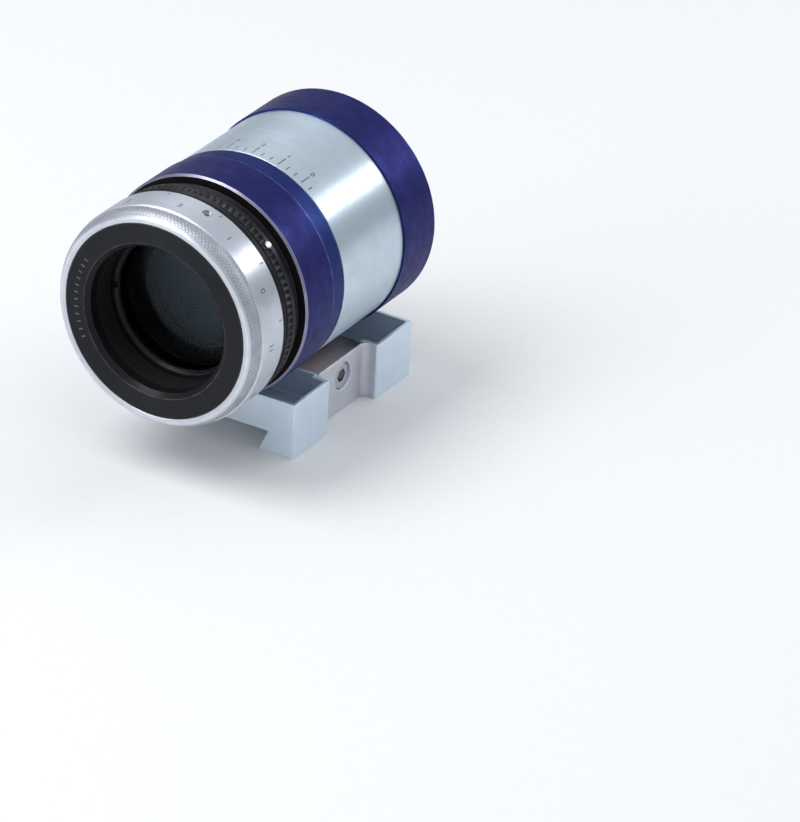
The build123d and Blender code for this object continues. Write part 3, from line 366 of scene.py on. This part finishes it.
def near(angle, marks, half):
    """Whether an angle lies on one of the marks."""
    return any(abs((angle - mark + 180) % 360 - 180) < half for mark in marks)


def sides(marks, half):
    """The angles at which marks start and end."""
    return [mark + side for mark in marks for side in (-half, half)]


def spokes(segments, edges=()):
    """Angles round the circle, with a spoke on each edge that a mark needs."""
    step = 360 / segments
    even = [index * step for index in range(segments)]
    apart = [angle for angle in even if all(abs((angle - e + 180) % 360 - 180) > 0.4 * step for e in edges)]
    return sorted(apart + [edge % 360 for edge in edges])


def lathe(corners, angles, knurl=None):
    """Turn an outline about the tube's axis. knurl(station, radius, angle) gives depth and the brightness of
    the knurl tops: painted highlight, and on the focus ring partly rubbed metal too.
    """
    bm = bmesh.new()
    wear = bm.verts.layers.float.new("wear")
    rings = []
    for station, radius, edge_brightness in rounded(corners):
        ring = []
        for angle in angles:
            depth, crest = knurl(station, radius, angle) if knurl else (0.0, 0.0)
            vertex = bm.verts.new(at(station, radius - depth, angle))
            vertex[wear] = max(edge_brightness, crest)
            ring.append(vertex)
        rings.append(ring)
    for ring, following in zip(rings, rings[1:] + rings[:1]):
        for index in range(len(angles)):
            after = (index + 1) % len(angles)
            bm.faces.new((ring[index], ring[after], following[after], following[index]))
    bmesh.ops.recalc_face_normals(bm, faces=bm.faces)
    return bm


def engrave(bm, chosen, depth):
    """Sink the faces that chosen(station, radius, angle) picks. Their floors get the second material."""
    faces = [face for face in bm.faces if chosen(*where(face.calc_center_median()))]
    sunk = bmesh.ops.extrude_face_region(bm, geom=faces)["geom"]
    floors = [part for part in sunk if isinstance(part, bmesh.types.BMFace)]
    bmesh.ops.delete(bm, geom=faces, context="FACES")
    bm.normal_update()
    for vertex in {vertex for floor in floors for vertex in floor.verts}:
        inward = sum((face.normal for face in vertex.link_faces if face in floors), Vector())
        vertex.co -= inward.normalized() * depth * MM
    for floor in floors:
        floor.material_index = 1


def paint(bm, chosen, index=1):
    """Give the faces that chosen(station, radius, angle) picks another material."""
    for face in bm.faces:
        if chosen(*where(face.calc_center_median())):
            face.material_index = index


def make(name, bm, *materials):
    """A shown object from a finished bmesh, smooth but for its sharp edges."""
    for edge in bm.edges:
        edge.smooth = len(edge.link_faces) == 2 and edge.calc_face_angle() < SMOOTH_ANGLE
    for face in bm.faces:
        face.smooth = True
    mesh = bpy.data.meshes.new(name)
    bm.to_mesh(mesh)
    bm.free()
    piece = bpy.data.objects.new(name, mesh)
    bpy.context.scene.collection.objects.link(piece)
    for material in materials:
        mesh.materials.append(material)
    weighted = piece.modifiers.new("even_shading", "WEIGHTED_NORMAL")
    weighted.keep_sharp = True
    return piece


def stand_for(piece, *nodes):
    """Show a piece in place of one or more CAD nodes, on their body."""
    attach(piece, frame["nodes"][nodes[0]]["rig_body"])
    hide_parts(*nodes)


def softened(name, node, width, material=None):
    """A copy of a CAD node with its edges broken, which stands for the node."""
    bm = bmesh.new()
    bm.from_mesh(frame["nodes"][node].data)
    bmesh.ops.remove_doubles(bm, verts=bm.verts, dist=WELD)
    sharp = [edge for edge in bm.edges if edge.is_manifold and edge.calc_face_angle() > SHARPEST]
    broken = bmesh.ops.bevel(
        bm, geom=sharp, offset=width * MM, segments=BEVEL_STEPS, profile=0.5, affect="EDGES"
    )
    bmesh.ops.recalc_face_normals(bm, faces=bm.faces)
    # The bevel strips are brightened, partly as rubbed metal and partly as a painted highlight along the
    # edges.
    wear = bm.verts.layers.float.new("wear")
    strips = set(broken["faces"])
    for vertex in bm.verts:
        vertex[wear] = float(bool(vertex.link_faces) and all(face in strips for face in vertex.link_faces))
    piece = make(name, bm, material or FINISHES[SLOT_OF[node]])
    stand_for(piece, node)


def settle(piece, modifier):
    """Apply one modifier, with the others kept for later."""
    bpy.context.view_layer.update()
    others = [other for other in piece.modifiers if other != modifier]
    for other in others:
        other.show_viewport = False
    bpy.context.view_layer.update()
    cut = bpy.data.meshes.new_from_object(piece.evaluated_get(bpy.context.evaluated_depsgraph_get()))
    piece.modifiers.remove(modifier)
    for other in others:
        other.show_viewport = True
    piece.data = cut


def drill(piece, station, angles, radius, floor):
    """Cut round holes into a turned piece's side, down to the radius of their floor."""
    for angle in angles:
        bm = bmesh.new()
        bmesh.ops.create_cone(
            bm, cap_ends=True, segments=48, radius1=radius * MM, radius2=radius * MM, depth=CUTTER_LENGTH * MM
        )
        mesh = bpy.data.meshes.new("cutter")
        bm.to_mesh(mesh)
        bm.free()
        cutter = bpy.data.objects.new("cutter", mesh)
        bpy.context.scene.collection.objects.link(cutter)
        outward = (at(station, 1, angle) - at(station, 0, angle)).to_track_quat("Z", "Y")
        middle = at(station, floor + CUTTER_LENGTH / 2, angle)
        cutter.matrix_world = Matrix.Translation(middle) @ outward.to_matrix().to_4x4()
        cut = piece.modifiers.new("hole", "BOOLEAN")
        cut.operation = "DIFFERENCE"
        cut.object = cutter
        piece.modifiers.move(len(piece.modifiers) - 1, 0)
        settle(piece, cut)
        bpy.data.objects.remove(cutter)


def numeral(name, text, height, station, radius, angle, body):
    """A printed numeral that wraps round the tube's side and stands up towards the rear."""
    curve = bpy.data.curves.new(name, "FONT")
    curve.body = text
    curve.size = height * MM
    curve.align_x = "CENTER"
    curve.extrude = PRINT_HEIGHT * MM
    curve.offset = PRINT_SWELL * MM
    letter = bpy.data.objects.new(name, curve)
    mesh = bpy.data.meshes.new_from_object(letter)
    bpy.data.objects.remove(letter)
    bm = bmesh.new()
    bm.from_mesh(mesh)
    bpy.data.meshes.remove(mesh)
    bmesh.ops.remove_doubles(bm, verts=bm.verts, dist=WELD)
    for vertex in bm.verts:
        across, along, proud = vertex.co / MM
        vertex.co = at(station + along, radius + proud, angle - degrees(across / radius))
    bmesh.ops.recalc_face_normals(bm, faces=bm.faces)
    piece = make(name, bm, MARK_DARK)
    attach(piece, body)


# ---- front: black bezel, lens, focus ring and lock ring -----------------------------------------

SILVER = FINISHES["silver_anodised"]
BLUE = FINISHES["blue_anodised"]
BLACK = FINISHES["black_anodised"]

OPENING = 15.0
BEZEL_STEP = 1.2
BEZEL_REAR = rear("bezel")


def bezel_ring():
    """The black face ring, with a chamfered opening and engraved index marks on its left."""
    rim, shoulder = reach("bezel"), 16.4
    chamfer, chamfer_rear = 0.9, 0.95
    tick_inner, tick_outer, half, depth = 17.2, 18.1, 0.5, 0.05
    ticks = [152 + 5 * number for number in range(12)]
    outline = [
        (BEZEL_REAR, OPENING, 0), (chamfer_rear, OPENING, 0.08), (0.0, OPENING + chamfer, 0.12),
        (0.0, tick_inner, 0), (0.0, tick_outer, 0), (0.0, rim, 0.22), (BEZEL_STEP, rim, 0),
        (BEZEL_STEP, shoulder, 0), (BEZEL_REAR, shoulder, 0),
    ]
    bm = lathe(outline, spokes(256, sides(ticks, half)))

    def on_tick(station, radius, angle):
        return station < HAIR and tick_inner < radius < tick_outer and near(angle, ticks, half)

    engrave(bm, on_tick, depth)
    paint(bm, lambda station, radius, angle: station > chamfer_rear and radius < OPENING + SKIN, 2)
    stand_for(make("bezel_face", bm, BLACK, MARK_PALE, STRAY_BLACK_AND_SHADE), "bezel")


def recess_thread():
    """The fine stray-light thread inside the recess."""
    start, stop, pitch = BEZEL_REAR + 0.1, 7.9, 0.5
    wall, root, crest = OPENING + 0.08, OPENING - 0.02, OPENING - 0.26
    turns = int((stop - start) / pitch)
    end = start + turns * pitch
    outline = [(start, wall, 0)]
    for number in range(turns):
        outline.append((start + number * pitch, root, 0))
        outline.append((start + (number + 0.5) * pitch, crest, 0))
    outline += [(end, root, 0), (end, wall, 0)]
    piece = make("recess_thread", lathe(outline, spokes(192)), STRAY_BLACK_AND_SHADE)
    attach(piece, "lens")


def cemented_doublet():
    """The achromat's two glasses as one body, because the cement between them doesn't show."""
    pole, back, rim = front("crown_lens"), rear("flint_lens"), reach("flint_lens")
    curve, clear, steps, rounding = 140.0, 13.3, 24, 0.1
    dome = []
    for step in range(steps + 1):
        radius = clear * step / steps
        dome.append((pole + radius ** 2 / 2 / curve, radius, 0))
    bm = lathe([*dome, (dome[-1][0], rim, rounding), (back, rim, rounding), (back, 0.0, 0)], spokes(160))
    bmesh.ops.remove_doubles(bm, verts=bm.verts, dist=WELD)
    bmesh.ops.delete(bm, geom=[edge for edge in bm.edges if edge.is_wire], context="EDGES")
    bmesh.ops.recalc_face_normals(bm, faces=bm.faces)
    piece = make("doublet_glass", bm, FINISHES["optical_glass"])
    stand_for(piece, "crown_lens", "flint_lens")


GRIP_FACE_RADIUS = 20.9
LIP_REAR = 0.35
LIP_RADIUS = 21.45
KNURL_REAR = 2.95
KNURL_REAR_RADIUS = 22.26
KNURL_STEP = 0.12
BAND_FRONT = 3.15
FINE_KNURLS = 170
DIAMOND_LENGTH = 0.82
SEGMENTS_PER_KNURL = 6
KNURL_DEPTH = 0.2
FOCUS_INDEX = 38.5
FOCUS_NUMBERS = 12
FOCUS_DIVISION = 360 / FOCUS_NUMBERS
FOCUS_TICK = (8.7, 9.7)
FOCUS_DIGIT_FRONT = 5.4
FOCUS_DIGIT_HEIGHT = 1.9
FOCUS_DIGIT_ASIDE = 11.5
GRUB_STATION = 7.7
GRUB_ANGLES = (74, 194, 314)
GRUB_HOLE = 1.0


def fine_knurl(station, radius, angle):
    """Two crossing sets of fine grooves round the front band: diamonds with bright tops, partly rubbed metal
    and partly painted highlight.
    """
    if not LIP_REAR + SKIN < station < KNURL_REAR + HAIR or radius < LIP_RADIUS:
        return 0.0, 0.0
    along = (station - LIP_REAR) / DIAMOND_LENGTH
    left = abs((angle / 360 * FINE_KNURLS + along) % 1 - 0.5)
    right = abs((angle / 360 * FINE_KNURLS - along) % 1 - 0.5)
    height = 2 * min(left, right)
    return KNURL_DEPTH * (1 - height) / 2, height ** 2


def focus_grip():
    """The silver focus ring: rounded lip, knurled band, ridge, and a smooth band with its scale."""
    outer, end = reach("focus_ring"), rear("focus_ring")
    bore, inner, web = 20.0, reach("helicoid_ring"), 1.6
    steps = int((KNURL_REAR - LIP_REAR) / KNURL_STEP) + 1
    band = []
    for step in range(1, steps + 1):
        ahead = 1 - step / steps
        radius = KNURL_REAR_RADIUS - (KNURL_REAR_RADIUS - LIP_RADIUS) * ahead ** 3
        band.append((KNURL_REAR - (KNURL_REAR - LIP_REAR) * ahead, radius, 0))
    tick_front, tick_rear = FOCUS_TICK
    outline = [
        (web, bore, 0), (0.0, bore, 0.1), (0.0, GRIP_FACE_RADIUS, 0.25), (LIP_REAR, LIP_RADIUS, 0),
        *band, (BAND_FRONT - 0.08, KNURL_REAR_RADIUS, 0.03), (BAND_FRONT, outer, 0.05),
        (BAND_FRONT + 0.45, outer, 0), (tick_front, outer, 0), (tick_rear, outer, 0),
        (end, outer, 0.2), (end, inner, 0), (web, inner, 0),
    ]
    ticks = [FOCUS_INDEX + FOCUS_DIVISION * number for number in range(FOCUS_NUMBERS)]
    half = 0.3
    bm = lathe(outline, spokes(FINE_KNURLS * SEGMENTS_PER_KNURL, sides(ticks, half)), fine_knurl)

    def on_tick(station, radius, angle):
        return tick_front < station < tick_rear and radius > outer - SKIN and near(angle, ticks, half)

    def on_knurls(station, radius, angle):
        return LIP_REAR < station < KNURL_REAR and radius > LIP_RADIUS - SKIN

    engrave(bm, on_tick, TICK_DEPTH)
    paint(bm, on_knurls, 2)
    piece = make("focus_grip", bm, SATIN_SILVER, MARK_DARK, KNURLED_SILVER)
    drill(piece, GRUB_STATION, GRUB_ANGLES, GRUB_HOLE, inner)
    stand_for(piece, "focus_ring")
    for number, tick in enumerate(ticks):
        numeral(
            f"focus_number_{number}", str(number), FOCUS_DIGIT_HEIGHT, FOCUS_DIGIT_FRONT, outer,
            tick - FOCUS_DIGIT_ASIDE, "focus",
        )


LOCK_KNURLS = 96
LOCK_SEGMENTS = 10
LOCK_TOOTH = 0.32
LOCK_KNURL_DEPTH = 0.34
LOCK_KNURL_FLOOR = 21.6
KNURL_BAND = (12.3, 14.0)
RUN_OUT = 0.35


def lock_knurl(station, radius, angle):
    """Short straight teeth across the middle band of the lock ring, with a painted grey highlight on top."""
    first, last = KNURL_BAND
    if not first - HAIR < station < last + HAIR or radius < LOCK_KNURL_FLOOR:
        return 0.0, 0.0
    phase = abs((angle / 360 * LOCK_KNURLS) % 1 - 0.5)
    side = min(1.0, min(station - first, last - station) / RUN_OUT)
    tooth = max(0.0, 1 - phase / LOCK_TOOTH)
    # Second value: the painted highlight on the tooth tops.
    return LOCK_KNURL_DEPTH * side * (1 - tooth), 0.9 * side * tooth


def lock_grip():
    """The black lock ring with its knurled band and the hole of its screw."""
    start, end, outer = front("lock_ring"), rear("lock_ring"), reach("lock_ring")
    bore, waist, rear_drop = 20.86, 0.35, 0.1
    screw_station, screw_angle, screw_hole = 14.1, 44, 0.8
    first, last = KNURL_BAND
    outline = [
        (start, bore, 0), (start, outer - waist, 0.15), (first - RUN_OUT, outer - waist, 0.1),
        (first, outer, 0.05), (first + RUN_OUT, outer, 0), (last - RUN_OUT, outer, 0), (last, outer, 0),
        (last + 0.3, outer - rear_drop, 0.05), (end, outer - rear_drop, 0.22), (end, bore, 0),
    ]
    piece = make("lock_grip", lathe(outline, spokes(LOCK_KNURLS * LOCK_SEGMENTS), lock_knurl), BLACK)
    drill(piece, screw_station, [screw_angle], screw_hole, bore - 0.5)
    stand_for(piece, "lock_ring")


def mount_thread():
    """The turns of the lens thread that show between the lock ring and the collar."""
    start, stop, pitch = rear("lock_ring") + 0.15, front("front_collar") - 0.1, 0.45
    base, root, crest = 20.75, 20.9, 21.3
    turns = int((stop - start) / pitch)
    outline = [(start, base, 0)]
    for number in range(turns):
        outline.append((start + (number + 0.5) * pitch, crest, 0.1))
        outline.append((start + (number + 1) * pitch, root, 0))
    outline.append((start + turns * pitch, base, 0))
    piece = make("mount_thread", lathe(outline, spokes(240)), BLACK)
    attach(piece, "housing")


# ---- body shells -----------------------------------------------------------------------------

BODY_SEGMENTS = 288


def collar_shell():
    """The blue collar: its front chamfer is cut back to uncoated metal, and its front face is painted
    near-black, as the shade in the gap behind the lock ring.
    """
    start, end, outer = front("front_collar"), rear("front_collar"), reach("front_collar")
    inner, chamfer = 20.6, 0.38
    edge = outer - chamfer - 0.02
    outline = [
        (start, inner, 0), (start, outer - chamfer, 0.05), (start + chamfer, outer, 0.06),
        (end, outer, 0.36), (end, inner, 0),
    ]
    bm = lathe(outline, spokes(BODY_SEGMENTS))
    paint(bm, lambda station, radius, angle: radius > edge and station < start + chamfer)
    # The front face is painted near-black: painted shade in the gap behind the lock ring.
    paint(bm, lambda station, radius, angle: radius < edge and station < start + HAIR, 2)
    stand_for(make("collar_shell", bm, BLUE, BARE_CUT, STRAY_BLACK_AND_SHADE), "front_collar")


def tube_shell():
    """The silver middle tube: a short engraved scale by its front edge, and a blackened bore."""
    start, end, outer = front("body_tube"), rear("body_tube"), reach("body_tube")
    inner = 20.0
    first, short, long = start + 0.9, start + 2.3, start + 3.8
    digit_height, digit_gap = 1.6, 0.7
    ticks = [55 + 5 * number for number in range(12)]
    tall = ticks[1::3]
    half = 0.34
    outline = [
        (start, inner, 0), (start, outer, 0.12), (first, outer, 0), (short, outer, 0), (long, outer, 0),
        (end, outer, 0.12), (end, inner, 0),
    ]
    bm = lathe(outline, spokes(BODY_SEGMENTS, sides(ticks, half)))

    def on_tick(station, radius, angle):
        length = long if near(angle, tall, half) else short
        return first < station < length and radius > outer - SKIN and near(angle, ticks, half)

    engrave(bm, on_tick, TICK_DEPTH)
    paint(bm, lambda station, radius, angle: radius < inner + SKIN, 2)
    stand_for(make("tube_shell", bm, SILVER, MARK_DARK, STRAY_BLACK_AND_SHADE), "body_tube")
    for number, tick in enumerate(tall):
        numeral(
            f"tube_number_{number}", str(number), digit_height, long + digit_gap, outer, tick,
            "housing",
        )


def rear_shell():
    """The blue rear ring around the socket plate."""
    start, end, outer = front("rear_ring"), rear("rear_ring"), reach("rear_ring")
    bore, seat, spigot, groove = 17.4, reach("rear_plate"), 20.0, 18.8
    plate, shoulder = front("rear_plate"), rear("body_tube")
    groove_front, groove_rear = front("rear_seal"), rear("rear_seal")
    outline = [
        (start, bore, 0.1), (start, spigot, 0.1), (groove_front, spigot, 0), (groove_front, groove, 0),
        (groove_rear, groove, 0), (groove_rear, spigot, 0), (shoulder, spigot, 0), (shoulder, outer, 0),
        (end, outer, 0.42), (end, seat, 0.12), (plate, seat, 0), (plate, bore, 0.1),
    ]
    bm = lathe(outline, spokes(BODY_SEGMENTS))
    paint(bm, lambda station, radius, angle: station < shoulder + HAIR)
    stand_for(make("rear_shell", bm, BLUE, DEEP_BLUE), "rear_ring")


bezel_ring()
recess_thread()
cemented_doublet()
focus_grip()
lock_grip()
mount_thread()
collar_shell()
tube_shell()
rear_shell()

for soft_name, soft_node, soft_width, soft_material in (
    ("cover_shell", "front_cover", 0.1, DEEP_BLUE),
    ("mount_shell", "lens_mount", 0.04, None),
    ("retainer_ring", "front_retainer", 0.06, None),
    ("foot_block", "foot", 0.3, None),
    ("clamp_bolt", "clamp_screw", 0.1, None),
    ("foot_bolts", "foot_screws", 0.1, None),
    ("socket_plate", "rear_plate", 0.1, None),
    ("plate_bolts", "rear_plate_screws", 0.1, None),
    ("usb_shell", "usb_socket", 0.06, None),
    ("usb_blade", "usb_tongue", 0.06, None),
    ("port_block", "guide_port", 0.12, None),
    ("port_contacts", "guide_port_contacts", 0.05, None),
    ("grub_screws", "focus_ring_screws", 0.06, None),
    ("lock_pin", "lock_screw", 0.12, None),
):
    softened(soft_name, soft_node, soft_width, soft_material)


PLATFORM = (34.4, 51.8)
WAIST_SPAN = (34.3, 51.95)
WAIST_INSIDE = 15.2


def mill_platform(foot):
    """Leave the foot's waist paler, and give its platform and the saddle cut into it a darker machined
    finish: uncoated metal, painted darker as the shade under the tube.
    """
    top, saddle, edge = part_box("foot")[1].z, reach("body_tube"), 0.1
    foot.data.materials.append(MILLED_AND_SHADED)
    foot.data.materials.append(WAIST)
    for face in foot.data.polygons:
        station, radius, _ = where(face.center)
        level = abs(face.center.z - top) < HAIR * MM or abs(radius - saddle) < edge
        outside = abs(face.center.x) > WAIST_INSIDE * MM and abs(face.normal.z) < 0.5
        # The platform and saddle get the darker finish, painted shade under the tube.
        if level and PLATFORM[0] < station < PLATFORM[1]:
            face.material_index = 1
        elif outside and WAIST_SPAN[0] < station < WAIST_SPAN[1]:
            face.material_index = 2


mill_platform(bpy.data.objects["foot_block"])

BLACKENED = ("lens_cell", "lens_spacer", "aperture_stop", "rear_retainer", "window_retainer")

for node_name, node in frame["nodes"].items():
    node.data.materials.clear()
    node.data.materials.append(STRAY_BLACK_AND_SHADE if node_name in BLACKENED else FINISHES[SLOT_OF[node_name]])


# ---- studio ----------------------------------------------------------------------------------

def floor():
    """A wide pale sheet that the camera stands on."""
    half, squares = 1.5, 40
    paper = moulded("paper", (0.80, 0.802, 0.806), (0.785, 0.788, 0.795), 0.85, grain_mm=0.4, depth=0.004)
    bm = bmesh.new()
    bmesh.ops.create_grid(bm, x_segments=squares, y_segments=squares, size=half)
    sheet = make("floor", bm, paper)


def softbox(name, place, along, length, width, power):
    """A rectangular area light that faces the object, with its length along a direction."""
    lamp = bpy.data.lights.new(name, "AREA")
    lamp.shape = "RECTANGLE"
    lamp.size = length
    lamp.size_y = width
    lamp.energy = power
    box = bpy.data.objects.new(name, lamp)
    bpy.context.scene.collection.objects.link(box)
    back = (Vector(place) - MIDDLE).normalized()
    across = back.cross(Vector(along)).normalized()
    turn = Matrix((across.cross(back), across, back)).transposed()
    box.matrix_world = Matrix.Translation(place) @ turn.to_4x4()


def surroundings():
    """A pale room, brighter overhead than at the horizon."""
    world = bpy.data.worlds.new("studio")
    bpy.context.scene.world = world
    world.use_nodes = True
    nodes, links = world.node_tree.nodes, world.node_tree.links
    place = nodes.new("ShaderNodeTexCoord")
    split = nodes.new("ShaderNodeSeparateXYZ")
    ramp = nodes.new("ShaderNodeValToRGB")
    ramp.color_ramp.elements[0].position = 0.0
    ramp.color_ramp.elements[0].color = (0.50, 0.52, 0.56, 1)
    ramp.color_ramp.elements[1].position = 0.7
    ramp.color_ramp.elements[1].color = (0.93, 0.96, 1.0, 1)
    links.new(place.outputs["Generated"], split.inputs["Vector"])
    links.new(split.outputs["Z"], ramp.inputs["Fac"])
    links.new(ramp.outputs["Color"], nodes["Background"].inputs["Color"])
    nodes["Background"].inputs["Strength"].default_value = 0.82


def camera():
    """A long lens at the viewing angle of the reference, aimed low and right of the front rim."""
    round_z, above, roll = radians(29.85), radians(28.51), radians(3.02)
    distance, right_shift, up_shift = 1201.8, 46.34, -16.80
    focal, film = 279.6, 36.0
    back = Vector((sin(round_z) * cos(above), -cos(round_z) * cos(above), sin(above)))
    level = Vector((cos(round_z), sin(round_z), 0))
    upward = back.cross(level)
    right = level * cos(roll) + upward * sin(roll)
    up = upward * cos(roll) - level * sin(roll)
    eye = at(0, 0, 0) + (back * distance + right * right_shift + up * up_shift) * MM
    data = bpy.data.cameras.new("camera")
    data.lens = focal
    data.sensor_width = film
    data.clip_start = 0.01
    rig = bpy.data.objects.new("camera", data)
    bpy.context.scene.collection.objects.link(rig)
    rig.matrix_world = Matrix.Translation(eye) @ Matrix((right, up, back)).transposed().to_4x4()
    bpy.context.scene.camera = rig


floor()
surroundings()
camera()
# Name, place, direction of its length, length, width and power.
softbox("key", (-0.25, -0.25, 0.60), (1, 0, 0), 0.34, 0.45, 2.4)
softbox("streak", (0.311, 0.495, 0.314), (0, 1, 0), 0.60, 0.13, 0.9)
softbox("fill", (-0.30, -0.60, 0.25), (1, 0, 0), 0.40, 0.30, 1.0)
bpy.context.scene.view_settings.view_transform = "Standard"
